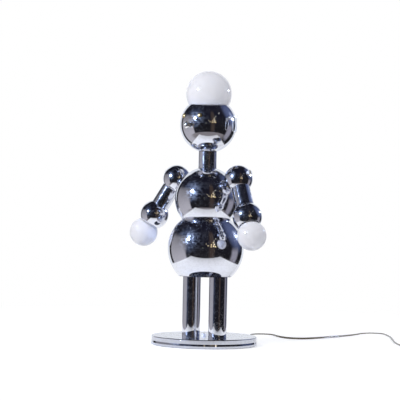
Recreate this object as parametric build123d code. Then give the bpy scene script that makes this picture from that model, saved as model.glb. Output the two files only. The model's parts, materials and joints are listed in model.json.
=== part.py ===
from build123d import *
import math
import os

# Robot shaped desk lamp, in millimetres. +Z is up, the robot looks along -Y and its left side is +X.
# The origin is on the floor, at the centre of the round base.

# ------------------------------------------------------------------ driving sizes
# base
base_diameter = 294.0
base_height = 24.5
base_wall = 1.2
base_edge_radius = 2.2
skirt_step = 1.0
skirt_top = 12.2
skirt_bottom = 6.7
pan_lift = 1.0
weight_rim_gap = 10.8
under_weight_space = 7.9
plate_thickness = 1.2
pad_thickness = 2.2
pad_setback = 1.0

# tubes
tube_diameter = 50.8
tube_wall = 1.2
leg_length = 165.0
leg_spacing = 97.0
neck_length = 46.0
arm_reach = 120.0

# balls
ball_wall = 1.2
lower_body_diameter = 211.0
torso_diameter = 177.0
head_diameter = 157.0
shoulder_diameter = 78.0
hand_diameter = 80.0
hip_radius = 74.2
waist_radius = 69.0
head_mouth_radius = 57.6
hand_mouth_radius = 29.6

# arms
shoulder_rise = 55.2
seat_radius = 12.0
arm_swing = 13.6
arm_splay = 3.0

# threaded pipes, nuts and plates
pipe_radius = 4.9
pipe_bore_radius = 3.1
flange_radius = 10.0
flange_thickness = 1.5
nut_across_flats = 14.0
nut_height = 5.0
thin_nut_height = 2.6
hip_plate_thickness = 1.5
waist_plate_thickness = 2.5
locating_step = 1.2
bolt_radius = 4.0
cap_across_flats = 13.0
cap_height = 5.0
cap_dome = 4.0
cap_bevel = 0.4
saddle_height = 1.0
saddle_radius = 7.4
saddle_skirt = 6.0
pipe_end = 3.0
pipe_end_under_weight = 0.6
bolt_end_gap = 0.5
pivot_end_inside = 12.0

# clearances
running_gap = 0.08
hole_gap = 0.1
face_gap = 0.3
plate_gap = 0.15
touch = 0.02
nut_to_holder_gap = 0.6
through = 1000.0

# bulbs and lampholders
head_bulb_radius = 63.5
head_bulb_gap = 0.8
head_bulb_to_tip = 111.5
head_bulb_neck = 17.5
head_bulb_blend = 14.0
hand_bulb_radius = 39.7
hand_bulb_gap = 2.7
hand_bulb_to_tip = 72.3
hand_bulb_neck = 15.5
hand_bulb_blend = 10.0
glass_wall = 1.0
glass_taper = 3.0
throat_depth = 8.0
cap_shell_radius = 13.2
cap_shell_length = 24.0
cap_tip_radius = 4.5
cap_tip_height = 1.5
cap_insulator_radius = 6.0
cap_insulator_height = 4.0
cap_floor = 5.0
holder_radius = 19.0
holder_depth = 23.5
holder_floor = 2.5
holder_pipe_stop = 8.5
holder_hub_start = 13.5
holder_hub_end = 16.8
holder_cavity_radius = 14.8
holder_hub_radius = 8.0
screw_shell_radius = 14.2
screw_shell_wall = 0.5
screw_shell_setback = 1.0
contact_hole_radius = 9.0

# face
eye_azimuth = 22.5
eye_rise = 21.7
eye_radius = 6.0
eye_rim = 2.2
eye_dome = 1.8
eye_shank = 9.0
stud_shank_radius = 2.0
small_nut_across_flats = 7.0
small_nut_height = 3.2
nose_radius = 11.0
nose_drop = 4.6
nose_out = 9.0
nose_gap = 0.7
nose_shaft_radius = 2.5
nose_recess_radius = 6.8
nose_recess_depth = 3.6
nose_shaft_depth = 11.0
switch_radius = 9.5
switch_length = 22.0
switch_bushing_radius = 4.5
switch_bushing_setback = 1.2
ring_nut_radius = 6.2
ring_nut_thickness = 1.8

# ears
ear_rise = 17.5
ear_out = 16.5
ear_ring_radius = 5.9
ear_wire_radius = 1.3
ear_collar_radius = 4.5
ear_collar_length = 4.0
ear_shank_inside = 11.0
ear_stem = 4.0
link_wire_radius = 1.1
link_half_width = 6.9
link_length = 39.0
link_hang_gap = 0.4

# cord
cord_radius = 2.6
bushing_length = 24.0
bushing_tip_wall = 1.3
bushing_barrel_wall = 1.5
bushing_collar_wall = 2.4
bushing_collar_length = 2.0
coil_radius = 32.0
coil_layers = 2
coil_slack = 0.2
coil_corner = 2.0
coil_lead_in = 30.0
coil_lead_out = 40.0
tie_width = 5.0
tie_thickness = 0.8
plug_length = 30.0
plug_width = 24.0
plug_height = 13.0
plug_neck_length = 16.0
plug_neck_wall = 1.0
plug_neck_flare = 1.6
plug_back_width = 15.0
plug_back_height = 10.4
plug_corner = 3.0
blade_length = 17.0
blade_width = 6.3
blade_thickness = 1.5
blade_spacing = 12.7

# leads inside the stand
lead_radius = 1.6
lead_clearance = 0.4
lead_straight = 22.0
lead_bend = 12.0
supply_bend = 20.0
supply_rise_bend = 5.5
supply_offset = 14.5
supply_turn_in = 30.0
supply_first_x = 12.0
supply_first_back = 35.0
block_rise = 34.0
block_length = 30.0
block_width = 16.0
block_height = 12.0
block_pitch = 8.0
block_corner = 1.0

# ------------------------------------------------------------------ places worked out from them
tube_radius = tube_diameter / 2
tube_bore_radius = tube_radius - tube_wall
base_radius = base_diameter / 2
base_wall_radius = base_radius - skirt_step
plate_top = pad_thickness + plate_thickness
plate_radius = base_radius - base_wall - plate_gap
weight_top = base_height - base_wall
weight_bottom = plate_top + under_weight_space
weight_radius = base_wall_radius - base_wall - weight_rim_gap
leg_x = leg_spacing / 2
leg_top = base_height + leg_length
hip_top = leg_top + hip_plate_thickness

lower_body_radius = lower_body_diameter / 2
torso_radius = torso_diameter / 2
head_radius = head_diameter / 2
shoulder_radius = shoulder_diameter / 2
hand_radius = hand_diameter / 2
nose_reach = head_radius + nose_out
nose_back = head_radius + nose_gap
ear_reach = head_radius + ear_out


def chord(radius, offset):
    """Distance from a ball's centre to the plane where its circle has the radius `offset`."""
    return math.sqrt(radius * radius - offset * offset)


def bulb_rise(ball_radius, mouth, bulb_radius, gap, to_tip):
    """Height of a bulb's centre over its ball's centre: as low as mouth and lampholder allow."""
    inner = ball_radius - ball_wall
    over_rim = mouth + chord(bulb_radius + gap, chord(inner, mouth))
    floor = face_gap + flange_thickness + nut_height + nut_to_holder_gap - chord(inner, flange_radius)
    return max(over_rim, floor + holder_hub_end + to_tip)


lower_body_low = -chord(lower_body_radius, hip_radius)
lower_body_high = chord(lower_body_radius, waist_radius)
lower_body_z = hip_top - lower_body_low
waist_low = lower_body_z + lower_body_high
waist_high = waist_low + waist_plate_thickness
torso_low = -chord(torso_radius, waist_radius)
torso_z = waist_high - torso_low
neck_low = torso_z + chord(torso_radius, tube_bore_radius)
neck_high = neck_low + neck_length
head_z = neck_high + face_gap + chord(head_radius, tube_bore_radius)
head_high = chord(head_radius, head_mouth_radius)
head_bulb_rise = bulb_rise(head_radius, head_high, head_bulb_radius, head_bulb_gap, head_bulb_to_tip)
head_tip_z = head_z + head_bulb_rise - head_bulb_to_tip

# the shoulder pivot: a radial axis of the torso, tilted up, on the robot's left side
seat_plane = chord(shoulder_radius, seat_radius)
seat_inner_radius = chord(shoulder_radius - ball_wall, seat_plane)
shoulder_distance = chord(torso_radius, seat_inner_radius) + face_gap + seat_plane
pivot_tilt = math.asin(shoulder_rise / shoulder_distance)
torso_centre = Vector(0, 0, torso_z)
pivot_axis = Vector(math.cos(pivot_tilt), 0, math.sin(pivot_tilt))
shoulder_centre = torso_centre + pivot_axis * shoulder_distance

# the arm: square to the pivot axis but for the splay, swung forward at rest
hanging = Vector(math.sin(pivot_tilt), 0, -math.cos(pivot_tilt))
swing = math.radians(arm_swing)
splay = math.radians(arm_splay)
swung = hanging * math.cos(swing) + Vector(0, -1, 0) * math.sin(swing)
arm_axis = swung * math.cos(splay) + pivot_axis * math.sin(splay)
hand_centre = shoulder_centre + arm_axis * arm_reach
hand_mouth = chord(hand_radius, hand_mouth_radius)
hand_bulb_rise = bulb_rise(hand_radius, hand_mouth, hand_bulb_radius, hand_bulb_gap, hand_bulb_to_tip)
hand_tip_reach = arm_reach + hand_bulb_rise - hand_bulb_to_tip
hand_tip = shoulder_centre + arm_axis * hand_tip_reach

head_centre = Vector(0, 0, head_z)
bushing_tip_y = base_radius + running_gap + bushing_length
pan_inside = base_wall_radius - base_wall - face_gap
bushing_back = pan_inside - bushing_collar_length
bushing_barrel_radius = cord_radius + bushing_barrel_wall
bushing_collar_radius = cord_radius + bushing_collar_wall
cord_exit_height = plate_top + hole_gap + bushing_collar_radius


# ------------------------------------------------------------------ small tools
def turned(*outline):
    """Solid turned about Z from (radius, height) points."""
    return revolve(Face(Wire.make_polygon([(r, 0, z) for r, z in outline])), Axis.Z)


def aimed(shape, origin, direction):
    """Put a shape that was made on Z at a point, with its +Z along a direction."""
    return Plane(origin=origin, z_dir=direction).location * shape


def rod(radius, length, start=0.0):
    """Cylinder on Z from `start` upwards."""
    return Pos(0, 0, start) * Cylinder(radius, length, align=(Align.CENTER, Align.CENTER, Align.MIN))


def ring(outer, inner, length, start=0.0):
    """Straight tube on Z from `start` upwards."""
    return turned((inner, start), (outer, start), (outer, start + length), (inner, start + length))


def rim(radius, height):
    """Point of a ball's outline at a height, kept on the ball."""
    height = max(-radius, min(radius, height))
    return (math.sqrt(max(0.0, radius * radius - height * height)), 0, height)


def ball_arc(radius, low, high):
    """Outline arc of a ball between two heights."""
    start = math.asin(max(-1.0, low / radius))
    end = math.asin(min(1.0, high / radius))
    middle = (start + end) / 2
    half_way = (radius * math.cos(middle), 0, radius * math.sin(middle))
    return ThreePointArc(rim(radius, low), half_way, rim(radius, high))


def ball_shell(radius, low, high):
    """Hollow ball about the origin, kept between two heights."""
    inner = radius - ball_wall
    outline = [
        ball_arc(radius, low, high),
        Line(rim(radius, high), rim(inner, high)),
        ball_arc(inner, low, high),
        Line(rim(radius, low), rim(inner, low)),
    ]
    return revolve(make_face(outline), Axis.Z)


def drill(radius, x=0.0, y=0.0):
    """Upright cutter that goes through any piece."""
    return Pos(x, y, 0) * Cylinder(radius, 2 * through)


def drill_out(radius, origin, direction):
    """Cutter from a point outwards."""
    return aimed(rod(radius, through), origin, direction)


def hexagon(across_flats, height, start=0.0):
    """Hexagonal prism on Z from `start` upwards."""
    corner_radius = across_flats / math.sqrt(3)
    return Pos(0, 0, start) * extrude(RegularPolygon(corner_radius, 6), height)


def flange_nut():
    """Pipe nut with a round flange. It bears at z = 0 and stands up along +Z."""
    body = rod(flange_radius, flange_thickness) + hexagon(nut_across_flats, nut_height, flange_thickness)
    return body - drill(pipe_radius + touch)


def cap_nut(bore_radius):
    """Domed nut on Z, bearing at z = 0, with a blind bore as deep as its flats."""
    foot = cap_across_flats / 2 - cap_bevel
    body = hexagon(cap_across_flats, cap_height) + dome(foot, cap_dome, cap_height)
    return body - rod(bore_radius + touch, cap_height)


def dome(foot, rise, start=0.0):
    """Part of a ball on Z, with its flat round foot at `start`."""
    radius = (foot**2 + rise**2) / (2 * rise)
    ball = Pos(0, 0, start + rise - radius) * Sphere(radius)
    return ball & rod(foot + 1, rise + 1, start)


def pipe(length, start=0.0):
    """Threaded lamp pipe on Z."""
    return ring(pipe_radius, pipe_bore_radius, length, start)


def tube_along(points, radius, bends):
    """Round bar along straight runs joined by tangent arcs."""
    path = FilletPolyline(*points, radius=bends)
    start = Plane(origin=path @ 0, z_dir=path % 0)
    return sweep(start * Circle(radius), path=path)


def mirrored(shape):
    """The same piece on the robot's right side."""
    return mirror(shape, Plane.YZ)


# ------------------------------------------------------------------ bulbs and lampholders
# Both are made on Z, with the bulb's contact tip at z = 0 and its globe above.
def bulb_solid(radius, centre, neck, blend, foot):
    """Globe with a neck that flows into it, down to the height `foot`."""
    blend_centre_z = -math.sqrt((radius + blend) ** 2 - (neck + blend) ** 2)
    share = radius / (radius + blend)
    meet = ((neck + blend) * share, 0, centre + blend_centre_z * share)
    low = math.asin(blend_centre_z / (radius + blend))
    half = (low + math.pi / 2) / 2
    globe_middle = (radius * math.cos(half), 0, centre + radius * math.sin(half))
    neck_top = (neck, 0, centre + blend_centre_z)
    quarter = math.pi + low / 2
    blend_x = neck + blend + blend * math.cos(quarter)
    blend_middle = (blend_x, 0, centre + blend_centre_z + blend * math.sin(quarter))
    outline = [
        ThreePointArc((0, 0, centre + radius), globe_middle, meet),
        ThreePointArc(meet, blend_middle, neck_top),
        Line(neck_top, (neck, 0, foot)),
        Line((neck, 0, foot), (0, 0, foot)),
        Line((0, 0, foot), (0, 0, centre + radius)),
    ]
    return revolve(make_face(outline), Axis.Z)


def bulb_glass(radius, centre, neck, blend):
    """Hollow opal globe whose neck narrows into the screw cap."""
    throat = cap_shell_radius - screw_shell_wall - touch
    shoulder = cap_shell_length + glass_taper
    end = cap_shell_length - throat_depth
    outside = bulb_solid(radius, centre, neck, blend, shoulder)
    outside += turned((0, shoulder), (neck, shoulder), (throat, cap_shell_length), (throat, end), (0, end))
    neck -= glass_wall
    throat -= glass_wall
    inside = bulb_solid(radius - glass_wall, centre, neck, blend + glass_wall, shoulder)
    inside += turned((0, shoulder), (neck, shoulder), (throat, cap_shell_length), (throat, end), (0, end))
    return outside - inside


def bulb_cap():
    """Screw cap of a bulb: thin shell, insulated end and contact tip."""
    inner = cap_shell_radius - screw_shell_wall
    return turned(
        (0, 0),
        (cap_tip_radius, 0),
        (cap_tip_radius, cap_tip_height),
        (cap_insulator_radius, cap_tip_height),
        (cap_shell_radius, cap_insulator_height),
        (cap_shell_radius, cap_shell_length),
        (inner, cap_shell_length),
        (inner, cap_floor),
        (0, cap_floor),
    )


def holder_body():
    """Insulating body of a lampholder, with the hub that screws on the pipe."""
    bore = pipe_radius + touch
    return turned(
        (bore, -holder_hub_end),
        (holder_hub_radius, -holder_hub_end),
        (holder_hub_radius, -holder_hub_start),
        (holder_radius, -holder_hub_start),
        (holder_radius, holder_depth),
        (holder_cavity_radius, holder_depth),
        (holder_cavity_radius, -holder_floor),
        (pipe_bore_radius, -holder_floor),
        (pipe_bore_radius, -holder_pipe_stop),
        (bore, -holder_pipe_stop),
    )


def holder_shell():
    """Brass screw shell that lines a lampholder."""
    inner = screw_shell_radius - screw_shell_wall
    foot = -holder_floor + screw_shell_wall
    top = holder_depth - screw_shell_setback
    return turned(
        (inner, top),
        (screw_shell_radius, top),
        (screw_shell_radius, -holder_floor),
        (contact_hole_radius, -holder_floor),
        (contact_hole_radius, foot),
        (inner, foot),
    )


# ------------------------------------------------------------------ stand
def leg_holes():
    """Cutters for the two leg pipes and for the supply lead beside the left one."""
    pipes = drill(pipe_radius + hole_gap, leg_x) + drill(pipe_radius + hole_gap, -leg_x)
    return pipes + drill(cord_radius + lead_clearance, leg_x, supply_offset)


def base_pan():
    """Spun pan with a rounded top edge and a small step out near the floor."""
    outer = base_wall_radius
    inner_top = base_height - base_wall
    pan = turned(
        (0, base_height),
        (outer, base_height),
        (outer, skirt_top),
        (base_radius, skirt_bottom),
        (base_radius, pan_lift),
        (base_radius - base_wall, pan_lift),
        (base_radius - base_wall, skirt_bottom),
        (outer - base_wall, skirt_top),
        (outer - base_wall, inner_top),
        (0, inner_top),
    )
    top_edge = pan.edges().filter_by_position(Axis.Z, base_height - touch, base_height + touch)
    pan = fillet(top_edge, base_edge_radius) - drill(bolt_radius + hole_gap) - leg_holes()
    return pan - drill_out(bushing_barrel_radius + touch, (0, 0, cord_exit_height), (0, 1, 0))


def base_weight():
    """Cast disc against the underside of the pan's top."""
    disc = rod(weight_radius, weight_top - weight_bottom, weight_bottom)
    return disc - drill(bolt_radius + hole_gap) - leg_holes()


def base_bolt():
    """Hexagon bolt up through the weight and the pan."""
    head = hexagon(cap_across_flats, cap_height, weight_bottom - cap_height)
    top = base_height + cap_height - bolt_end_gap
    return head + rod(bolt_radius, top - weight_bottom, weight_bottom)


def hip_plate():
    """Disc that closes the lower body's underside, stepped to centre its rim."""
    step_radius = math.sqrt((lower_body_radius - ball_wall) ** 2 - lower_body_low**2) - plate_gap
    plate = turned(
        (0, leg_top),
        (hip_radius, leg_top),
        (hip_radius, hip_top),
        (step_radius, hip_top),
        (step_radius, hip_top + locating_step),
        (0, hip_top + locating_step),
    )
    return plate - drill(pipe_radius + hole_gap) - leg_holes()


def waist_plate():
    """Disc between the two body shells, stepped on both faces to centre their rims."""
    lower_step = math.sqrt((lower_body_radius - ball_wall) ** 2 - lower_body_high**2) - plate_gap
    upper_step = math.sqrt((torso_radius - ball_wall) ** 2 - torso_low**2) - plate_gap
    plate = turned(
        (0, waist_low - locating_step),
        (lower_step, waist_low - locating_step),
        (lower_step, waist_low),
        (waist_radius, waist_low),
        (waist_radius, waist_high),
        (upper_step, waist_high),
        (upper_step, waist_high + locating_step),
        (0, waist_high + locating_step),
    )
    plate -= drill(pipe_radius + hole_gap)
    for x, y in waist_lead_places:
        plate -= drill(lead_radius + lead_clearance, x, y)
    return plate


def torso_shell():
    """Torso ball, open at the waist, with holes for the spine and the two shoulder pivots."""
    shell = ball_shell(torso_radius, torso_low, torso_radius) - drill(pipe_radius + hole_gap)
    pivot_hole = drill_out(pipe_radius + hole_gap, (0, 0, 0), pivot_axis)
    shell -= pivot_hole
    shell -= mirrored(pivot_hole)
    return Pos(0, 0, torso_z) * shell


spine_bottom = leg_top - thin_nut_height
spine_top = head_tip_z - holder_pipe_stop
spine_window_low = torso_z + 12.0
spine_window_high = torso_z + 44.0


def spine_pipe():
    """Threaded pipe that ties hip plate, shells, neck and head, with a window for the head's lead."""
    body = pipe(spine_top - spine_bottom, spine_bottom)
    window = Box(2 * pipe_bore_radius, 2 * pipe_radius, spine_window_high - spine_window_low)
    return body - Pos(0, pipe_radius, (spine_window_low + spine_window_high) / 2) * window


def shoulder_pivot_pipe():
    """Pipe from inside the torso, through the shoulder ball, into its domed nut."""
    start = torso_radius - ball_wall - pivot_end_inside
    end = shoulder_distance + shoulder_radius + saddle_height + cap_height
    return aimed(pipe(end - start, start), torso_centre, pivot_axis)


def shoulder_saddle_washer():
    """Dished washer between the shoulder ball and the domed nut."""
    foot = shoulder_radius - saddle_skirt
    body = ring(saddle_radius, pipe_radius + touch, saddle_skirt + saddle_height, foot)
    body -= Sphere(shoulder_radius + face_gap)
    return aimed(body, shoulder_centre, pivot_axis)


def shoulder_cap_nut():
    """Domed nut on the outer end of a shoulder pivot."""
    nut = Pos(0, 0, shoulder_radius + saddle_height) * cap_nut(pipe_radius)
    return aimed(nut, shoulder_centre, pivot_axis)


def pipe_nuts():
    """The stand's flanged nuts and the spine's thin lower nut, one solid each."""
    nut = flange_nut()
    thin_nut = hexagon(nut_across_flats, thin_nut_height) - drill(pipe_radius + touch)
    torso_seat = chord(torso_radius - ball_wall, flange_radius)
    torso_nut = aimed(nut, torso_centre + pivot_axis * torso_seat, -pivot_axis)
    head_seat = head_z - chord(head_radius - ball_wall, flange_radius) + face_gap
    nuts = [torso_nut, mirrored(torso_nut)]
    nuts.append(aimed(thin_nut, (0, 0, leg_top), (0, 0, -1)))
    nuts.append(Pos(0, 0, waist_high + locating_step) * nut)
    nuts.append(Pos(0, 0, head_seat) * nut)
    for side in (-leg_x, leg_x):
        nuts.append(aimed(nut, (side, 0, weight_bottom), (0, 0, -1)))
        nuts.append(Pos(side, 0, hip_top + locating_step) * nut)
    return Compound(children=nuts)


def leg_pipes():
    """One threaded pipe through each leg."""
    bottom = weight_bottom - flange_thickness - nut_height - pipe_end_under_weight
    top = hip_top + locating_step + flange_thickness + nut_height + pipe_end
    return Compound(children=[Pos(side, 0, 0) * pipe(top - bottom, bottom) for side in (-leg_x, leg_x)])


def leg_tube(side):
    """Chrome tube of one leg."""
    return Pos(side, 0, 0) * ring(tube_radius, tube_bore_radius, leg_length, base_height)


# ------------------------------------------------------------------ leads inside the stand
block_bottom = hip_top + block_rise
block_top = block_bottom + block_height
waist_lead_places = [(0.0, 30.0), (30.0, 18.0), (-30.0, 18.0)]


def supply_lead():
    """Lead from the bushing, under the weight and up beside the left leg's pipe."""
    floor_z = (weight_bottom + plate_top) / 2
    points = [
        (0, bushing_back, cord_exit_height),
        (0, bushing_back - bushing_collar_length, cord_exit_height),
        (1, weight_radius, floor_z),
        (supply_first_x, weight_radius - supply_first_back, floor_z),
        (leg_x, supply_offset + supply_turn_in, floor_z),
        (leg_x, supply_offset, floor_z),
        (leg_x, supply_offset, block_bottom),
    ]
    bends = [supply_rise_bend, supply_bend, supply_bend, supply_bend, supply_rise_bend]
    return tube_along(points, cord_radius, bends)


def stand_lead(start_x, waist_place, targets):
    """One lead from the connector block up through the waist plate and on to its targets."""
    x, y = waist_place
    points = [
        (start_x, supply_offset, block_top),
        (start_x, supply_offset, block_top + lead_straight),
        (x, y, waist_low - lead_straight),
        (x, y, waist_high + lead_straight),
        *targets,
    ]
    return tube_along(points, lead_radius, [lead_bend] * 4)


def stand_leads():
    """Leads from the connector block to the head's lampholder and to the two shoulder pivots."""
    head_place, left_place, right_place = waist_lead_places
    window_middle = (spine_window_low + spine_window_high) / 2
    head_targets = [(0, 0, window_middle), (0, 0, head_tip_z - holder_floor)]
    end = torso_centre + pivot_axis * (torso_radius - flange_radius)
    near = end - pivot_axis * lead_straight
    left_targets = [(near.X, 0, near.Z), (end.X, 0, end.Z)]
    right_targets = [(-near.X, 0, near.Z), (-end.X, 0, end.Z)]
    leads = [
        stand_lead(leg_x, head_place, head_targets),
        stand_lead(leg_x + block_pitch, left_place, left_targets),
        stand_lead(leg_x - block_pitch, right_place, right_targets),
    ]
    return Compound(children=leads)


def connector_block():
    """Block where the supply lead meets the three leads."""
    block = Box(block_length, block_width, block_height)
    return Pos(leg_x, supply_offset, (block_bottom + block_top) / 2) * fillet(block.edges(), block_corner)


# ------------------------------------------------------------------ head
def face_direction(azimuth, rise):
    """Direction from the head's centre, turned from -Y towards +X, up to a height on the ball."""
    level = math.asin(rise / head_radius)
    turn = math.radians(azimuth)
    return Vector(math.sin(turn) * math.cos(level), -math.cos(turn) * math.cos(level), math.sin(level))


def head_shell():
    """Head ball, open at the top for the bulb, with holes for spine, eyes, nose switch and ears."""
    shell = ball_shell(head_radius, -head_radius, head_high)
    shell -= drill_out(pipe_radius + running_gap, (0, 0, 0), (0, 0, -1))
    shell -= drill_out(switch_bushing_radius + hole_gap, (0, 0, 0), face_direction(0, -nose_drop))
    for azimuth in (-eye_azimuth, eye_azimuth):
        shell -= drill_out(stud_shank_radius + hole_gap, (0, 0, 0), face_direction(azimuth, eye_rise))
    for side in (-1, 1):
        shell -= drill_out(stud_shank_radius + hole_gap, (0, 0, ear_rise), (side, 0, 0))
    return Pos(0, 0, head_z) * shell


def eye_studs():
    """Two domed brass studs."""
    back = head_radius - touch
    head = rod(eye_radius, eye_rim, back) + dome(eye_radius, eye_dome, back + eye_rim)
    stud = head + rod(stud_shank_radius, eye_shank, back - eye_shank)
    studs = [aimed(stud, head_centre, face_direction(a, eye_rise)) for a in (-eye_azimuth, eye_azimuth)]
    return Compound(children=studs)


def small_nut():
    """Nut of an eye stud or a screw eye, bearing at z = 0 and standing along +Z."""
    return hexagon(small_nut_across_flats, small_nut_height) - drill(stud_shank_radius + touch)


def face_nuts():
    """Nuts of the eyes and the ears, inside the head."""
    corner = small_nut_across_flats / math.sqrt(3)
    inner = head_radius - ball_wall
    nuts = []
    for azimuth in (-eye_azimuth, eye_azimuth):
        out = face_direction(azimuth, eye_rise)
        nuts.append(aimed(small_nut(), head_centre + out * chord(inner, corner), -out))
    ear_seat = math.sqrt(inner**2 - (ear_rise + corner) ** 2) - hole_gap
    for side in (-1, 1):
        place = head_centre + Vector(side * ear_seat, 0, ear_rise)
        nuts.append(aimed(small_nut(), place, (-side, 0, 0)))
    return Compound(children=nuts)


def ear_eyes():
    """Two screw eyes with collars that fit the ball."""
    loop = Rot(90, 0, 0) * Torus(ear_ring_radius, ear_wire_radius)
    wall = chord(head_radius, ear_rise)
    shank_start = wall - ear_shank_inside
    shank_end = ear_reach - ear_ring_radius - ear_wire_radius
    shank = rod(stud_shank_radius, shank_end - shank_start, shank_start)
    stem = rod(ear_wire_radius, ear_stem, ear_reach - ear_ring_radius - ear_stem)
    eye = Pos(ear_reach, 0, ear_rise) * loop + aimed(shank + stem, (0, 0, ear_rise), (1, 0, 0))
    collar = rod(ear_collar_radius, 2 * ear_collar_length, wall - ear_collar_length)
    eye += aimed(collar, (0, 0, ear_rise), (1, 0, 0)) - Sphere(head_radius)
    eye = Pos(0, 0, head_z) * eye
    return Compound(children=[eye, mirrored(eye)])


def earring():
    """Long oval wire link that hangs in the left screw eye."""
    straight = link_length - 2 * link_wire_radius - 2 * link_half_width
    hang_z = ear_rise - ear_ring_radius
    top_line = hang_z + ear_wire_radius + link_hang_gap + link_wire_radius
    upper = top_line - link_half_width
    lower = upper - straight
    wire = Circle(link_wire_radius)
    profile = Plane(origin=(0, link_half_width, 0), z_dir=(0, 0, 1)) * wire
    bend = revolve(profile, Axis.X, 180)
    link = Pos(0, 0, upper) * bend
    link += Pos(0, 0, lower) * mirror(bend, Plane.XY)
    for side in (-link_half_width, link_half_width):
        link += Pos(0, side, lower) * rod(link_wire_radius, straight)
    return Pos(ear_reach, 0, head_z) * link


# The nose pieces are made on Z, from the head's centre outwards, and turned to the face, a little below level.
def on_nose(shape):
    return aimed(shape, head_centre, face_direction(0, -nose_drop))


switch_front = chord(head_radius - ball_wall, switch_radius)
ring_nut_back = chord(head_radius, switch_bushing_radius + hole_gap) + touch
bushing_front = nose_back + nose_recess_depth - switch_bushing_setback


def nose_switch_body():
    """Rotary switch behind the nose: round body and threaded bushing through the head."""
    body = rod(switch_radius, switch_length, switch_front - switch_length)
    body += rod(switch_bushing_radius, bushing_front - switch_front + 1, switch_front - 1)
    bore = rod(nose_shaft_radius + running_gap, through, switch_front - nose_shaft_depth)
    return on_nose(body - bore)


def nose_switch_nut():
    """Ring nut that holds the switch in the head."""
    return on_nose(ring(ring_nut_radius, switch_bushing_radius + touch, ring_nut_thickness, ring_nut_back))


def nose_knob():
    """Chrome ball with a flat, hollowed back and its shaft."""
    knob = Pos(0, 0, nose_reach) * Sphere(nose_radius)
    knob -= rod(nose_radius, nose_back)
    knob -= rod(nose_recess_radius, nose_back + nose_recess_depth)
    shaft_start = switch_front - nose_shaft_depth + face_gap
    return on_nose(knob + rod(nose_shaft_radius, nose_reach - shaft_start, shaft_start))


# ------------------------------------------------------------------ left arm
def shoulder_ball():
    """Ball that turns on the pivot. Its flat, open side faces the torso."""
    shell = aimed(ball_shell(shoulder_radius, -shoulder_radius, seat_plane), (0, 0, 0), -pivot_axis)
    shell -= drill_out(pipe_radius + running_gap, (0, 0, 0), pivot_axis)
    shell -= drill_out(pipe_radius + hole_gap, (0, 0, 0), arm_axis)
    return Pos(shoulder_centre) * shell


def arm_tube():
    """Straight tube between shoulder ball and hand ball."""
    start = chord(shoulder_radius, tube_bore_radius) + touch
    end = arm_reach - chord(hand_radius, tube_bore_radius) - touch
    return aimed(ring(tube_radius, tube_bore_radius, end - start, start), shoulder_centre, arm_axis)


def arm_pipe():
    """Threaded pipe from inside the shoulder ball into the hand's lampholder."""
    start = chord(shoulder_radius - ball_wall, flange_radius) - flange_thickness - nut_height - pipe_end
    end = hand_tip_reach - holder_pipe_stop
    return aimed(pipe(end - start, start), shoulder_centre, arm_axis)


def arm_nuts():
    """Flanged nuts at both ends of the arm, inside the balls."""
    near = chord(shoulder_radius - ball_wall, flange_radius)
    far = chord(hand_radius - ball_wall, flange_radius)
    inside_shoulder = aimed(flange_nut(), shoulder_centre + arm_axis * near, -arm_axis)
    inside_hand = aimed(flange_nut(), hand_centre - arm_axis * far, arm_axis)
    return Compound(children=[inside_shoulder, inside_hand])


def hand_ball():
    """Ball with an open mouth for the bulb."""
    shell = ball_shell(hand_radius, -hand_radius, hand_mouth)
    shell -= drill_out(pipe_radius + hole_gap, (0, 0, 0), (0, 0, -1))
    return aimed(shell, hand_centre, arm_axis)


def hand_piece(shape):
    """Put a bulb or lampholder piece in the left hand."""
    return aimed(shape, hand_tip, arm_axis)


# ------------------------------------------------------------------ cord
# Route on the floor, from the bushing at the back of the base to the coil: x, distance behind the
# bushing's tip, and height.
cord_lay = [
    (0, 0, cord_exit_height),
    (0, 14, cord_exit_height),
    (-4, 34, 5.4),
    (-20, 66, cord_radius),
    (-49, 106, cord_radius),
    (-86, 146, cord_radius),
    (-121, 181, cord_radius),
    (-128, 209, cord_radius),
    (-114, 231, cord_radius),
    (-90, 238, cord_radius),
    (-64, 225, cord_radius),
    (-29, 196, cord_radius),
    (14, 173, cord_radius),
    (45, 173, cord_radius),
    (68, 190, cord_radius),
    (78, 223, cord_radius),
    (82, 277, cord_radius),
    (84, 337, cord_radius),
    (81, 402, cord_radius),
    (70, 461, cord_radius),
    (56, 504, cord_radius),
    (57, 535, cord_radius),
    (73, 553, cord_radius),
    (97, 557, cord_radius),
    (120, 541, cord_radius),
    (145, 514, cord_radius),
    (187, 471, cord_radius),
    (231, 414, cord_radius),
    (275, 356, cord_radius),
    (321, 300, cord_radius),
    (366, 255, cord_radius),
    (411, 217, cord_radius),
    (448, 185, cord_radius),
]
cord_route = [(x, bushing_tip_y + back, z) for x, back, z in cord_lay]
coil_start = Vector(*cord_route[-1])
coil_ahead = (coil_start - Vector(*cord_route[-2])).normalized()
coil_side = Vector(-coil_ahead.Y, coil_ahead.X, 0)
coil_centre = coil_start + coil_ahead * coil_lead_in + coil_side * coil_radius - Vector(0, 0, cord_radius)
coil_half_width = cord_radius + coil_slack
coil_height = coil_layers * 2 * cord_radius + coil_slack
coil_lift = tie_thickness + hole_gap
plug_axis_z = plug_height / 2
plug_back = coil_centre + coil_side * coil_radius - coil_ahead * coil_lead_out + Vector(0, 0, plug_axis_z)


def route_bends(points):
    """Radius of each corner: 0.45 of the shorter run over the tangent of half the turn."""
    bends = []
    for before, here, after in zip(points, points[1:], points[2:]):
        run_in = Vector(*here) - Vector(*before)
        run_out = Vector(*after) - Vector(*here)
        half_turn = math.radians(run_in.get_angle(run_out)) / 2
        bends.append(0.45 * min(run_in.length, run_out.length) / math.tan(half_turn))
    return bends


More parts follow.
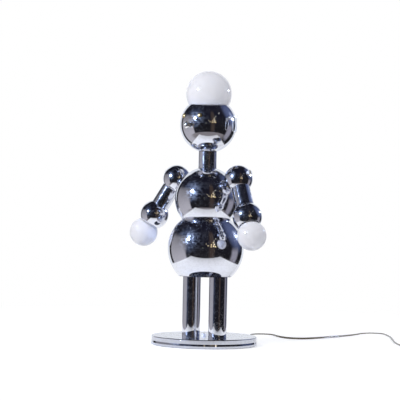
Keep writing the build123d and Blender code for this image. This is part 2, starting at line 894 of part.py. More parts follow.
def cord_run():
    """The cord from the bushing to the coil."""
    bends = route_bends(cord_route)
    print("cord bend radii:", [round(b) for b in bends])
    path = FilletPolyline(*cord_route, radius=bends)
    body = tube_along(cord_route, cord_radius, bends)
    section = math.pi * cord_radius**2
    print("cord run length:", round(path.length, 1), "volume over section:", round(body.volume / section, 1))
    return body


def cord_coil():
    """Outer shape of the coil that holds the rest of the cord, with its two straight ends."""
    body = ring(coil_radius + coil_half_width, coil_radius - coil_half_width, coil_height, coil_lift)
    body = Pos(coil_centre) * fillet(body.edges(), coil_corner)
    body += aimed(rod(cord_radius, coil_lead_in), coil_start, coil_ahead)
    return body + aimed(rod(cord_radius, coil_lead_out), plug_back, coil_ahead)


def cord_tie():
    """Band round the coil's turns."""
    width = 2 * coil_half_width + 4 * hole_gap
    height = coil_height + 2 * hole_gap
    outside = Box(width + 2 * tie_thickness, tie_width, height + 2 * tie_thickness)
    band = Pos(0, 0, coil_lift + coil_height / 2) * (outside - Box(width, 2 * tie_width, height))
    return Plane(origin=coil_centre + coil_ahead * coil_radius, x_dir=coil_ahead).location * band


def plug_place(shape):
    """Put a plug piece that was made on Z behind the coil's free end, lying flat."""
    return Plane(origin=plug_back, x_dir=coil_side, z_dir=-coil_ahead).location * shape


def plug_body():
    """Moulded plug: tapered neck, then a flat grip that widens to the face."""
    neck_radius = cord_radius + plug_neck_wall
    neck = Cone(neck_radius, neck_radius + plug_neck_flare, plug_neck_length)
    back = Plane.XY * RectangleRounded(plug_back_width, plug_back_height, plug_corner)
    face = Plane.XY.offset(plug_length) * RectangleRounded(plug_width, plug_height, plug_corner)
    grip = Pos(0, 0, plug_neck_length) * loft([back, face])
    return plug_place(Pos(0, 0, plug_neck_length / 2) * neck + grip)


def plug_blades():
    """Two flat blades in the plug's face."""
    front = plug_neck_length + plug_length
    blade = Pos(0, 0, front + blade_length / 2) * Box(blade_thickness, blade_width, blade_length)
    blades = [plug_place(Pos(side * blade_spacing / 2, 0, 0) * blade) for side in (-1, 1)]
    return Compound(children=blades)


def cord_bushing():
    """Bushing moulded on the cord, through the pan's wall, with a tapered strain relief outside."""
    collar_start = base_radius + running_gap
    collar_end = collar_start + bushing_collar_length
    body = turned(
        (0, bushing_back),
        (bushing_collar_radius, bushing_back),
        (bushing_collar_radius, pan_inside),
        (bushing_barrel_radius, pan_inside),
        (bushing_barrel_radius, collar_start),
        (bushing_collar_radius, collar_start),
        (bushing_collar_radius, collar_end),
        (cord_radius + bushing_tip_wall, bushing_tip_y),
        (0, bushing_tip_y),
    )
    return aimed(body, (0, 0, cord_exit_height), (0, 1, 0))


# ------------------------------------------------------------------ all pieces
left_pivot_pipe = shoulder_pivot_pipe()
left_saddle = shoulder_saddle_washer()
left_cap = shoulder_cap_nut()

pieces = {
    "base_pan": base_pan(),
    "base_weight": base_weight(),
    "base_plate": rod(plate_radius, plate_thickness, pad_thickness),
    "base_pad": rod(plate_radius - pad_setback, pad_thickness),
    "base_bolt": base_bolt(),
    "base_cap_nut": Pos(0, 0, base_height) * cap_nut(bolt_radius),
    "cord_bushing": cord_bushing(),
    "left_leg_tube": leg_tube(leg_x),
    "right_leg_tube": leg_tube(-leg_x),
    "leg_pipes": leg_pipes(),
    "hip_plate": hip_plate(),
    "lower_body_shell": Pos(0, 0, lower_body_z) * ball_shell(lower_body_radius, lower_body_low, lower_body_high),
    "waist_plate": waist_plate(),
    "torso_shell": torso_shell(),
    "spine_pipe": spine_pipe(),
    "pipe_nuts": pipe_nuts(),
    "neck_tube": ring(tube_radius, tube_bore_radius, neck_length, neck_low),
    "shoulder_pivot_pipes": Compound(children=[left_pivot_pipe, mirrored(left_pivot_pipe)]),
    "shoulder_saddle_washers": Compound(children=[left_saddle, mirrored(left_saddle)]),
    "shoulder_cap_nuts": Compound(children=[left_cap, mirrored(left_cap)]),
    "supply_lead": supply_lead(),
    "stand_leads": stand_leads(),
    "connector_block": connector_block(),
    "head_holder_body": Pos(0, 0, head_tip_z) * holder_body(),
    "head_holder_shell": Pos(0, 0, head_tip_z) * holder_shell(),
    "head_bulb_glass": Pos(0, 0, head_tip_z)
    * bulb_glass(head_bulb_radius, head_bulb_to_tip, head_bulb_neck, head_bulb_blend),
    "head_bulb_cap": Pos(0, 0, head_tip_z) * bulb_cap(),
    "head_shell": head_shell(),
    "eye_studs": eye_studs(),
    "face_nuts": face_nuts(),
    "ear_eyes": ear_eyes(),
    "nose_switch_body": nose_switch_body(),
    "nose_switch_nut": nose_switch_nut(),
    "nose_knob": nose_knob(),
    "cord_run": cord_run(),
    "cord_coil": cord_coil(),
    "cord_tie": cord_tie(),
    "plug_body": plug_body(),
    "plug_blades": plug_blades(),
}

left_side = {
    "earring": earring(),
    "shoulder_ball": shoulder_ball(),
    "arm_tube": arm_tube(),
    "arm_pipe": arm_pipe(),
    "arm_nuts": arm_nuts(),
    "hand_ball": hand_ball(),
    "hand_holder_body": hand_piece(holder_body()),
    "hand_holder_shell": hand_piece(holder_shell()),
    "hand_bulb_glass": hand_piece(bulb_glass(hand_bulb_radius, hand_bulb_to_tip, hand_bulb_neck, hand_bulb_blend)),
    "hand_bulb_cap": hand_piece(bulb_cap()),
}
for name, shape in left_side.items():
    pieces["left_" + name] = shape
    pieces["right_" + name] = mirrored(shape)

os.makedirs("parts", exist_ok=True)
for name, shape in pieces.items():
    export_step(shape, f"parts/{name}.step")
print(len(pieces), "nodes")
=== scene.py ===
import json
import math

import bpy
import bmesh
from mathutils import Matrix, Vector


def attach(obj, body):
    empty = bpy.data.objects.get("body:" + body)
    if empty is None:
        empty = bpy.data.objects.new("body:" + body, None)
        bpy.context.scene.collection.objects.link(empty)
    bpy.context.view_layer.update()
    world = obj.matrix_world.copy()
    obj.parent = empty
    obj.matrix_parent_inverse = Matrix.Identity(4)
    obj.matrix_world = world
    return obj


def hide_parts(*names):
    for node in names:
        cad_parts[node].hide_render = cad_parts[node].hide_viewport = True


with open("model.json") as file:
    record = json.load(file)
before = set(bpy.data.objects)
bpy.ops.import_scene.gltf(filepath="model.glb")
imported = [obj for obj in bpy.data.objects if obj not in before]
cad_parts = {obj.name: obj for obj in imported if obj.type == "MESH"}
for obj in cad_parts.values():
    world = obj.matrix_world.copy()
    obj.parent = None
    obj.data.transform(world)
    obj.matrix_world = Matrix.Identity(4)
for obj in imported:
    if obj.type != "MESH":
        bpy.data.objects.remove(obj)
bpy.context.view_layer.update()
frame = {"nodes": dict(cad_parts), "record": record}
nodes = frame["nodes"]
scene = bpy.context.scene
scene.view_settings.view_transform = "Standard"

# The photograph looks at the robot from its front left: right and depth are the picture's
# horizontal direction and the direction away from the camera, on the floor.
TURN = math.radians(41)
RIGHT = Vector((math.cos(TURN), math.sin(TURN), 0))
DEPTH = Vector((-math.sin(TURN), math.cos(TURN), 0))


def add_object(name, data):
    thing = bpy.data.objects.new(name, data)
    scene.collection.objects.link(thing)
    return thing


# ------------------------------------------------------------------ camera
# Pixels are the photograph's. Its horizon lies just below the middle of the frame, and the camera
# is rolled because the lamp in it leans a little.
FRAME_PIXELS = 400
FOCAL_PIXELS = 1577
HORIZON_BELOW_MIDDLE = 3
SENSOR_WIDTH = 36.0
CAMERA_ROLL = math.radians(1.2)
CAMERA_PLACE = RIGHT * -0.0188 + DEPTH * -4.376 + Vector((0, 0, 0.392))


def make_camera():
    data = bpy.data.cameras.new("camera")
    data.sensor_width = SENSOR_WIDTH
    data.lens = SENSOR_WIDTH * FOCAL_PIXELS / FRAME_PIXELS
    data.clip_start = 0.05
    data.clip_end = 100
    camera = add_object("camera", data)
    tilt = math.atan(HORIZON_BELOW_MIDDLE / FOCAL_PIXELS)
    facing = Matrix.Rotation(TURN, 4, "Z")
    raised = Matrix.Rotation(math.pi / 2 + tilt, 4, "X")
    rolled = Matrix.Rotation(CAMERA_ROLL, 4, "Z")
    camera.matrix_world = Matrix.Translation(CAMERA_PLACE) @ (facing @ raised @ rolled)
    scene.camera = camera


make_camera()


# ------------------------------------------------------------------ node helpers
class Tree:
    """Short ways to add and join shader nodes."""

    def __init__(self, tree):
        self.tree = tree
        tree.nodes.clear()

    def add(self, kind, **settings):
        node = self.tree.nodes.new(kind)
        for name, value in settings.items():
            setattr(node, name, value)
        return node

    def put(self, socket, value):
        """Link another node's output to the socket, or set its number, vector or colour."""
        if isinstance(value, bpy.types.NodeSocket):
            self.tree.links.new(value, socket)
        elif isinstance(value, tuple) and len(value) == 3 and len(socket.default_value) == 4:
            socket.default_value = (*value, 1.0)
        else:
            socket.default_value = value

    def math(self, operation, a, b=0.0, c=0.0):
        node = self.add("ShaderNodeMath", operation=operation)
        for socket, value in zip(node.inputs, (a, b, c)):
            self.put(socket, value)
        return node.outputs[0]

    def vector(self, operation, a, b=None, scale=None):
        node = self.add("ShaderNodeVectorMath", operation=operation)
        self.put(node.inputs[0], a)
        if b is not None:
            self.put(node.inputs[1], b)
        if scale is not None:
            self.put(node.inputs["Scale"], scale)
        return node.outputs

    def dot(self, a, b):
        return self.vector("DOT_PRODUCT", a, b)["Value"]

    def step(self, value, low, high, to_low=0.0, to_high=1.0):
        """Smooth change from to_low, where the value is low, to to_high, where it is high."""
        node = self.add("ShaderNodeMapRange", interpolation_type="SMOOTHSTEP")
        inputs = {"Value": value, "From Min": low, "From Max": high, "To Min": to_low, "To Max": to_high}
        for name, number in inputs.items():
            self.put(node.inputs[name], number)
        return node.outputs["Result"]

    def fall(self, value, low, high):
        """1 where the value is low, 0 where it is high."""
        return self.step(value, low, high, 1.0, 0.0)

    def mix(self, share, a, b):
        """Mix of two colours. The node's inputs 6 and 7 and its output 2 are the colour ones."""
        node = self.add("ShaderNodeMix", data_type="RGBA")
        for index, value in ((0, share), (6, a), (7, b)):
            self.put(node.inputs[index], value)
        return node.outputs[2]

    def blend(self, share, a, b):
        """Mix of two shaders."""
        node = self.add("ShaderNodeMixShader")
        for socket, value in zip(node.inputs, (share, a, b)):
            self.put(socket, value)
        return node.outputs[0]

    def noise(self, vector, scale, detail, roughness):
        node = self.add("ShaderNodeTexNoise")
        self.put(node.inputs["Vector"], vector)
        for name, value in (("Scale", scale), ("Detail", detail), ("Roughness", roughness)):
            node.inputs[name].default_value = value
        return node.outputs["Fac"]

    def object_coords(self):
        return self.add("ShaderNodeTexCoord").outputs["Object"]

    def rays(self):
        """Whether a ray comes from the camera, and whether a mirror or glass sent it on."""
        path = self.add("ShaderNodeLightPath").outputs
        mirrored = self.math("MAXIMUM", path["Is Glossy Ray"], path["Is Transmission Ray"])
        return path["Is Camera Ray"], mirrored


def empty_material(name):
    material = bpy.data.materials.new(name)
    material.use_nodes = True
    return material, Tree(material.node_tree)


def new_material(name):
    material, tree = empty_material(name)
    shader = tree.add("ShaderNodeBsdfPrincipled")
    output = tree.add("ShaderNodeOutputMaterial")
    tree.put(output.inputs["Surface"], shader.outputs[0])
    return material, tree, shader


def bump(tree, shader, height, strength, distance):
    node = tree.add("ShaderNodeBump")
    node.inputs["Strength"].default_value = strength
    node.inputs["Distance"].default_value = distance
    tree.put(node.inputs["Height"], height)
    tree.put(shader.inputs["Normal"], node.outputs["Normal"])


def hairlines(tree, coords, stretch, keep, edge=0.06):
    """Thin lines: noise that is stretched along one direction, with only its peaks kept."""
    stretched = tree.vector("MULTIPLY", coords, stretch)["Vector"]
    lines = tree.noise(stretched, scale=1.0, detail=2.0, roughness=0.6)
    return tree.step(lines, keep, keep + edge)


# ------------------------------------------------------------------ materials
# Two finer sets of scratches cross the main one: how each is turned, and its noise's stretch.
CROSS_SCRATCHES = (
    ((0.7, 0.5, 0.9), (30, 1900, 45)),
    ((-0.9, 0.4, 2.1), (22, 26, 1500)),
)
# What each layer of wear adds to the roughness, to the darkening and to the relief. The darkest
# chrome has this share of its tint.
SCRATCH_ROUGH, SMUDGE_ROUGH, PIT_ROUGH = 0.16, 0.09, 0.22
SMUDGE_DARK, PIT_DARK = 0.05, 0.55
SCRATCH_RELIEF, PIT_RELIEF = -0.35, -1.0
RELIEF_STRENGTH = 0.12
DARKEST = 0.45
# The film: its weight as a coat, how strong its blotches are next to its strokes, and the scale of the
# strokes' noise next to that of the scratches, which makes them wider and longer.
FILM_WEIGHT = 0.58
BLOTCH_SHARE = 0.9
STROKE_STRETCH = 0.16
# What fine grain adds to the roughness of metal and plastic, and the roughness of opal glass with
# what its ripple adds.
METAL_GRAIN_ROUGH = 0.06
PLASTIC_GRAIN_ROUGH = 0.14
OPAL_ROUGH, OPAL_RIPPLE_ROUGH = 0.06, 0.06


def chrome(
    name,
    tint=(0.79, 0.80, 0.85),
    base_rough=0.028,
    wear=1.0,
    grain=(60, 60, 2600),
    along=None,
    waves=0.0,
    metallic=1.0,
):
    """Polished chrome: hairline scratches three ways, dull smudges, and tiny pits. A worn film over it
    scatters bright light into a patchy haze. A tube is polished round and round, which stretches its
    highlights along its axis, and thin sheet has slow waves."""
    material, tree, shader = new_material(name)
    coords = tree.object_coords()
    scratches = hairlines(tree, coords, grain, keep=0.66)
    for turns, stretch in CROSS_SCRATCHES:
        turned = tree.add("ShaderNodeVectorRotate", rotation_type="EULER_XYZ")
        tree.put(turned.inputs["Vector"], coords)
        turned.inputs["Rotation"].default_value = turns
        lines = hairlines(tree, turned.outputs[0], stretch, keep=0.69)
        scratches = tree.math("MAXIMUM", scratches, lines)
    smudge = tree.step(tree.noise(coords, scale=30.0, detail=6.0, roughness=0.68), low=0.47, high=0.72)
    pits = tree.step(tree.noise(coords, scale=420.0, detail=2.0, roughness=0.7), low=0.735, high=0.78)
    rough = tree.math("MULTIPLY_ADD", scratches, SCRATCH_ROUGH * wear, base_rough)
    rough = tree.math("MULTIPLY_ADD", smudge, SMUDGE_ROUGH * wear, rough)
    rough = tree.math("MULTIPLY_ADD", pits, PIT_ROUGH * wear, rough)
    tree.put(shader.inputs["Roughness"], rough)
    dark = tree.math("MULTIPLY", smudge, SMUDGE_DARK * wear)
    dark = tree.math("MULTIPLY_ADD", pits, PIT_DARK * wear, dark)
    tree.put(shader.inputs["Base Color"], tree.mix(dark, tint, tuple(DARKEST * c for c in tint)))
    shader.inputs["Metallic"].default_value = metallic
    # Wear in blotches and strokes carries the film that glows round a highlight.
    blotches = tree.step(tree.noise(coords, scale=125.0, detail=3.0, roughness=0.62), low=0.50, high=0.57)
    strokes = hairlines(tree, coords, tuple(STROKE_STRETCH * g for g in grain), keep=0.58)
    film = tree.math("MAXIMUM", tree.math("MULTIPLY", blotches, BLOTCH_SHARE), strokes)
    tree.put(shader.inputs["Coat Weight"], tree.math("MULTIPLY", film, FILM_WEIGHT * wear))
    shader.inputs["Coat Roughness"].default_value = 0.36
    shader.inputs["Coat IOR"].default_value = 2.0
    if along:
        axis = tree.add(
            "ShaderNodeVectorTransform", vector_type="VECTOR", convert_from="OBJECT", convert_to="WORLD"
        )
        axis.inputs[0].default_value = along
        tree.put(shader.inputs["Tangent"], axis.outputs[0])
        shader.inputs["Anisotropic"].default_value = 0.85
    height = tree.math("MULTIPLY_ADD", scratches, SCRATCH_RELIEF, tree.math("MULTIPLY", pits, PIT_RELIEF))
    if waves:
        slow = tree.noise(coords, scale=22.0, detail=1.0, roughness=0.4)
        height = tree.math("MULTIPLY_ADD", slow, waves, height)
    bump(tree, shader, height, strength=RELIEF_STRENGTH * wear, distance=0.00002)
    return material


def metal(name, colour, dull, rough, rough_more, scale=90.0):
    """Plain metal with tarnish that dulls and darkens it in patches."""
    material, tree, shader = new_material(name)
    coords = tree.object_coords()
    patches = tree.step(tree.noise(coords, scale, detail=5.0, roughness=0.62), low=0.38, high=0.68)
    fine = tree.noise(coords, scale=1500.0, detail=2.0, roughness=0.6)
    tree.put(shader.inputs["Base Color"], tree.mix(patches, colour, dull))
    level = tree.math("MULTIPLY_ADD", patches, rough_more, rough)
    tree.put(shader.inputs["Roughness"], tree.math("MULTIPLY_ADD", fine, METAL_GRAIN_ROUGH, level))
    shader.inputs["Metallic"].default_value = 1.0
    bump(tree, shader, fine, strength=0.10, distance=0.00005)
    return material


def opal():
    """Opal glass: milky, glossy, a little cloudier in places."""
    material, tree, shader = new_material("opal_glass")
    coords = tree.object_coords()
    cloud = tree.noise(coords, scale=14.0, detail=3.0, roughness=0.5)
    tree.put(shader.inputs["Base Color"], tree.mix(cloud, (0.875, 0.86, 0.895), (0.91, 0.895, 0.925)))
    ripple = tree.noise(coords, scale=60.0, detail=2.0, roughness=0.4)
    rough = tree.math("MULTIPLY_ADD", ripple, OPAL_RIPPLE_ROUGH, OPAL_ROUGH)
    tree.put(shader.inputs["Roughness"], rough)
    shader.inputs["IOR"].default_value = 1.5
    shader.inputs["Specular IOR Level"].default_value = 0.5
    shader.inputs["Subsurface Weight"].default_value = 0.25
    shader.inputs["Subsurface Radius"].default_value = (1.0, 0.9, 0.8)
    shader.inputs["Subsurface Scale"].default_value = 0.004
    bump(tree, shader, ripple, strength=0.03, distance=0.0001)
    return material


def plastic(name, colour, other, rough, grain_scale, grain_depth, grain_strength=0.25):
    """Moulded plastic, felt or a painted casting: slow colour drift and a fine surface grain."""
    material, tree, shader = new_material(name)
    coords = tree.object_coords()
    drift = tree.step(tree.noise(coords, scale=55.0, detail=4.0, roughness=0.6), low=0.35, high=0.7)
    grain = tree.noise(coords, grain_scale, detail=3.0, roughness=0.6)
    tree.put(shader.inputs["Base Color"], tree.mix(drift, colour, other))
    tree.put(shader.inputs["Roughness"], tree.math("MULTIPLY_ADD", grain, PLASTIC_GRAIN_ROUGH, rough))
    shader.inputs["IOR"].default_value = 1.5
    bump(tree, shader, grain, grain_strength, grain_depth)
    return material


# Metal: colour, its dull colour, roughness, what tarnish adds to that, and the scale of the patches.
# Plastic: two colours, roughness, and the grain's scale, depth and strength.
LOOKS = {
    "opal_glass": opal(),
    "brass": metal("brass", (0.80, 0.60, 0.27), (0.50, 0.34, 0.13), 0.20, 0.25, 260.0),
    "zinc_steel": metal("zinc_steel", (0.60, 0.60, 0.61), (0.44, 0.44, 0.43), 0.28, 0.16),
    "cast_weight": plastic("cast_weight", (0.035, 0.035, 0.037), (0.06, 0.055, 0.05), 0.55, 420.0, 0.0006, 0.6),
    "bottom_sheet": plastic("bottom_sheet", (0.03, 0.03, 0.03), (0.05, 0.05, 0.05), 0.35, 300.0, 0.0002),
    "felt": plastic("felt", (0.02, 0.02, 0.022), (0.045, 0.043, 0.04), 0.80, 1400.0, 0.0008, 0.8),
    "holder_plastic": plastic(
        "holder_plastic", (0.02, 0.019, 0.018), (0.035, 0.03, 0.028), 0.28, 700.0, 0.00008
    ),
    "cord_plastic": plastic("cord_plastic", (0.125, 0.098, 0.066), (0.19, 0.155, 0.11), 0.16, 900.0, 0.00006),
    "plug_plastic": plastic("plug_plastic", (0.085, 0.058, 0.035), (0.12, 0.086, 0.054), 0.24, 800.0, 0.0001),
    "tie_plastic": plastic("tie_plastic", (0.015, 0.015, 0.016), (0.03, 0.03, 0.03), 0.5, 1600.0, 0.0003, 0.6),
}
SMALL_TINT = (0.93, 0.92, 0.90)
SMALL_GRAIN = (300, 300, 2400)
SHEET_GRAIN = (420, 420, 420)
LEFT_ARM_AXIS = (0.474, -0.235, -0.848)
RIGHT_ARM_AXIS = (-0.474, -0.235, -0.848)
CHROME_BALL = chrome("chrome_ball")
CHROME_TUBE = chrome("chrome_tube", grain=(90, 90, 3200), wear=0.8)
CHROME_PLATE = chrome("chrome_plate", grain=SHEET_GRAIN, waves=60.0)
CHROME_SMALL = chrome("chrome_small", SMALL_TINT, grain=SMALL_GRAIN, wear=0.7, base_rough=0.30, metallic=0.7)
CHROME_OF = {
    # The base's chrome has a darker tint than the rest: painted shade, standing in for the lamp's shadow on the
    # floor that the base's wall mirrors.
    "base_pan": chrome("chrome_base_painted_shade", (0.57, 0.58, 0.63), grain=SHEET_GRAIN, wear=1.2, waves=80.0),
    "hip_plate": CHROME_PLATE,
    "waist_plate": CHROME_PLATE,
    "left_leg_tube": CHROME_TUBE,
    "right_leg_tube": CHROME_TUBE,
    "neck_tube": chrome("chrome_neck", base_rough=0.07, wear=1.3, along=(0, 0, 1)),
    "left_arm_tube": chrome("chrome_left_arm", base_rough=0.06, along=LEFT_ARM_AXIS),
    "right_arm_tube": chrome("chrome_right_arm", base_rough=0.06, along=RIGHT_ARM_AXIS),
    "base_cap_nut": chrome("chrome_nut", (0.95, 0.90, 0.82), grain=SMALL_GRAIN, base_rough=0.35, metallic=0.5),
    "shoulder_cap_nuts": CHROME_SMALL,
    "shoulder_saddle_washers": CHROME_SMALL,
    "ear_eyes": CHROME_SMALL,
    "left_earring": CHROME_SMALL,
    "right_earring": CHROME_SMALL,
    "nose_knob": chrome("chrome_nose", SMALL_TINT, grain=SMALL_GRAIN, base_rough=0.14, metallic=0.92),
}


def wear_material(piece, material):
    piece.data.materials.clear()
    piece.data.materials.append(material)


for row in frame["record"]["subparts"]:
    node_name, slot_name = row["node"], row["material_slot"]
    look = CHROME_OF.get(node_name, CHROME_BALL) if slot_name == "chrome" else LOOKS[slot_name]
    wear_material(nodes[node_name], look)

# ------------------------------------------------------------------ cord
# Flat twin cord, 5.2 mm wide and 2.6 mm thick. Each point is x, y, z and the edge, which says how far
# the cord is turned on its edge, from 0, flat on the floor, to 1. Where z is None, the cord lies on the
# floor, and its height follows from the edge.
HALF_THICK = 0.0013
FLOOR_GAP = 0.0001
EXIT = (0.0, 0.17108, 0.0085)
CORD_POINTS = [
    (*EXIT, 0.0),
    (0.0, 0.18508, 0.0085, 0.0),
    (-0.004, 0.20508, 0.0048, 0.0),
    (-0.020, 0.23708, None, 0.0),
    (-0.049, 0.27708, None, 0.0),
    (-0.086, 0.31708, None, 0.0),
    (-0.121, 0.35208, None, 0.1),
    (-0.128, 0.38008, None, 0.1),
    (-0.114, 0.40208, None, 0.1),
    (-0.090, 0.40908, None, 0.2),
    (-0.064, 0.39608, None, 0.4),
    (-0.029, 0.36708, None, 0.7),
    (0.014, 0.34408, None, 0.9),
    (0.045, 0.34408, None, 1.0),
    (0.068, 0.36108, None, 1.0),
    (0.078, 0.39408, None, 1.0),
    (0.082, 0.44808, None, 0.9),
    (0.084, 0.50808, None, 0.7),
    (0.081, 0.57308, None, 0.4),
    (0.070, 0.63208, None, 0.2),
    (0.056, 0.67508, None, 0.1),
    (0.057, 0.70608, None, 0.0),
    (0.073, 0.72408, None, 0.0),
    (0.097, 0.72808, None, 0.0),
    (0.120, 0.71208, None, 0.0),
    (0.145, 0.68508, None, 0.0),
    (0.187, 0.64208, None, 0.0),
    (0.231, 0.58508, None, 0.0),
    (0.275, 0.52708, None, 0.0),
    (0.321, 0.47108, None, 0.1),
    (0.366, 0.42608, None, 0.3),
    (0.411, 0.38808, None, 0.6),
    (0.448, 0.35608, None, 0.9),
]
# The coil: the cord runs ahead as it enters, its first turn goes round to that side, and the half turn
# after it lies on the first. The heights are those of the cord's middle.
AHEAD = Vector((0.756363, -0.654152, 0))
SIDE = Vector((0.654152, 0.756363, 0))
COIL_CENTRE = Vector((0.491624, 0.360659, 0))
COIL_RADIUS = 0.032
POINTS_PER_TURN = 16
COIL_STEPS = POINTS_PER_TURN * 3 // 2
FIRST_TURN = 0.0036
SECOND_TURN = 0.0089
CLIMB_FROM = POINTS_PER_TURN * 0.72
CLIMB_OVER = POINTS_PER_TURN * 0.28
# From the coil down to the back of the plug.
TO_PLUG_POINTS = [
    (0.5020, 0.3940, 0.0083, 0.8),
    (0.4914, 0.4032, 0.0072, 0.35),
    (0.4853, 0.4084, 0.0066, 0.05),
    (0.482302, 0.411029, 0.0065, 0.0),
]


def cord_line():
    """All points of the cord, as x, y, z and edge: the route, the coil's one and a half turns, the plug."""
    line = []
    for x, y, z, edge in CORD_POINTS:
        height = z or HALF_THICK * (1 + math.sin(edge * math.pi / 2)) + FLOOR_GAP
        line.append((x, y, height, edge))
    # The control points stand outside the circle, so that the spline follows it.
    reach = COIL_RADIUS / math.cos(math.pi / POINTS_PER_TURN)
    for i in range(COIL_STEPS + 1):
        angle = -math.pi / 2 + 2 * math.pi * i / POINTS_PER_TURN
        # The second turn climbs on to the first one just after it has passed the start.
        climb = min(1.0, max(0.0, (i - CLIMB_FROM) / CLIMB_OVER))
        height = FIRST_TURN + (SECOND_TURN - FIRST_TURN) * climb * climb * (3 - 2 * climb)
        place = COIL_CENTRE + AHEAD * (reach * math.cos(angle)) + SIDE * (reach * math.sin(angle))
        line.append((place.x, place.y, height, 1.0))
    return line + TO_PLUG_POINTS


def twin_section():
    """Outline of the flat twin cord: two round leads joined by a thinner web."""
    curve = bpy.data.curves.new("twin_section", "CURVE")
    curve.dimensions = "2D"
    outline = []
    steps = 14
    half_arc = 130
    for side in (1, -1):
        for i in range(steps + 1):
            angle = math.radians(-half_arc + 2 * half_arc * i / steps)
            x = side * (HALF_THICK + HALF_THICK * math.cos(angle))
            y = side * HALF_THICK * math.sin(angle)
            outline.append((x, y))
    spline = curve.splines.new("POLY")
    spline.points.add(len(outline) - 1)
    for point, (x, y) in zip(spline.points, outline):
        point.co = (x, y, 0, 1)
    spline.use_cyclic_u = True
    section = add_object("twin_section", curve)
    section.hide_render = True
    section.hide_viewport = True
    return section


def make_cord():
    curve = bpy.data.curves.new("cord", "CURVE")
    curve.dimensions = "3D"
    curve.twist_mode = "Z_UP"
    line = cord_line()
    spline = curve.splines.new("NURBS")
    spline.points.add(len(line) - 1)
    for point, (x, y, z, edge) in zip(spline.points, line):
        point.co = (x, y, z, 1)
        point.tilt = edge * math.pi / 2
    spline.order_u = 3
    spline.use_endpoint_u = True
    spline.resolution_u = 10
    curve.bevel_mode = "OBJECT"
    curve.bevel_object = twin_section()
    curve.use_fill_caps = True
    cord = add_object("cord", curve)
    wear_material(cord, LOOKS["cord_plastic"])
    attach(cord, "stand")
    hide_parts("cord_run", "cord_coil")


make_cord()


# ------------------------------------------------------------------ floor
# The paper that mirrors see, in metres to the side and away from the camera. Each edge is soft
# between its two numbers, and the paper is dimmer towards its front.
PAPER_SIDES = (0.50, 0.56)
PAPER_FRONT = (-0.60, -0.52)
PAPER_BACK = (0.75, 0.95)
PAPER_DIM = (-0.60, -0.12)
PAPER_DIM_LEVEL = 0.55
# How far from the lamp the floor turns into the white background.
BACKDROP = (0.75, 1.6)
FLOOR_HALF = 12
FLOOR_LEVEL = -0.0002
# The floor's own light brings it up to white: the first for mirrors and the camera, and the second on
# top of it for the camera.
LIFT = 0.27
CAMERA_LIFT = 0.13
SOFT_LIGHT = (0.93, 0.95, 1.0)


def make_floor():
    """Pale floor. Mirrors see it as the white paper in the photograph, which is 1.06 m wide and ends in
    front of the lamp. Past its edges they see the dark room that the world paints."""
    mesh = bpy.data.meshes.new("floor")
    shape = bmesh.new()
    bmesh.ops.create_grid(shape, x_segments=2, y_segments=2, size=FLOOR_HALF)
    shape.to_mesh(mesh)
    shape.free()
    floor = add_object("floor", mesh)
    floor.location.z = FLOOR_LEVEL
    material, tree = empty_material("floor")
    place = tree.add("ShaderNodeNewGeometry").outputs["Position"]
    across = tree.math("ABSOLUTE", tree.dot(place, RIGHT))
    depth = tree.dot(place, DEPTH)
    inside = tree.math("MULTIPLY", tree.fall(across, *PAPER_SIDES), tree.step(depth, *PAPER_FRONT))
    inside = tree.math("MULTIPLY", inside, tree.fall(depth, *PAPER_BACK))
    paper = tree.math("MULTIPLY", inside, tree.step(depth, *PAPER_DIM, PAPER_DIM_LEVEL, 1.0))
    camera_ray, mirrored = tree.rays()
    seen = tree.math("MAXIMUM", camera_ray, mirrored)
    diffuse = tree.add("ShaderNodeBsdfDiffuse")
    diffuse.inputs["Color"].default_value = (0.80, 0.80, 0.80, 1)
    lift = tree.add("ShaderNodeEmission")
    tree.put(lift.inputs["Color"], tree.mix(camera_ray, SOFT_LIGHT, (1, 1, 1)))
    strength = tree.math("MULTIPLY_ADD", camera_ray, CAMERA_LIFT, tree.math("MULTIPLY", seen, LIFT))
    tree.put(lift.inputs["Strength"], strength)
    lit = tree.add("ShaderNodeAddShader")
    tree.put(lit.inputs[0], diffuse.outputs[0])
    tree.put(lit.inputs[1], lift.outputs[0])
    clear = tree.add("ShaderNodeBsdfTransparent")
    gone = tree.math("MULTIPLY", mirrored, tree.math("SUBTRACT", 1.0, paper))
    surface = tree.blend(gone, lit.outputs[0], clear.outputs[0])
    white = tree.add("ShaderNodeEmission")
    distance = tree.vector("LENGTH", place)["Value"]
    far = tree.math("MULTIPLY", tree.step(distance, *BACKDROP), camera_ray)
    output = tree.add("ShaderNodeOutputMaterial")
    tree.put(output.inputs["Surface"], tree.blend(far, surface, white.outputs[0]))
    wear_material(floor, material)


make_floor()

# ------------------------------------------------------------------ light
# The colours of the dark room, below and above, and of what stands in it.
DARK_LOW, DARK_HIGH = (0.012, 0.011, 0.013), (0.010, 0.010, 0.019)
LEFT_HAZE, RIGHT_HAZE = (0.052, 0.068, 0.125), (0.11, 0.14, 0.28)
BROWN_WALL = (0.056, 0.040, 0.034)
RIGHT_SCREEN, LEFT_SCREEN = (0.31, 0.30, 0.36), (1.0, 0.97, 1.06)
GREY_FLOOR = (0.24, 0.22, 0.23)
PAPER = (0.84, 0.87, 0.93)
# Where it stands, in degrees. A spot has its azimuth and elevation, and the angles round them where it
# is full and gone. A patch has a band of azimuths and one of elevations: low, high, and how soft.
LEFT_HAZE_SPOT = ((-114, 22), 2, 46)
RIGHT_HAZE_SPOT = ((66, 26), 2, 38)
RIGHT_HAZE_SHARE = 0.9
BROWN_WALL_PATCH = ((154, 169, 5), (-32, 50, 10))
RIGHT_SCREEN_PATCH = ((65, 93, 6), (-40, -1, 7))
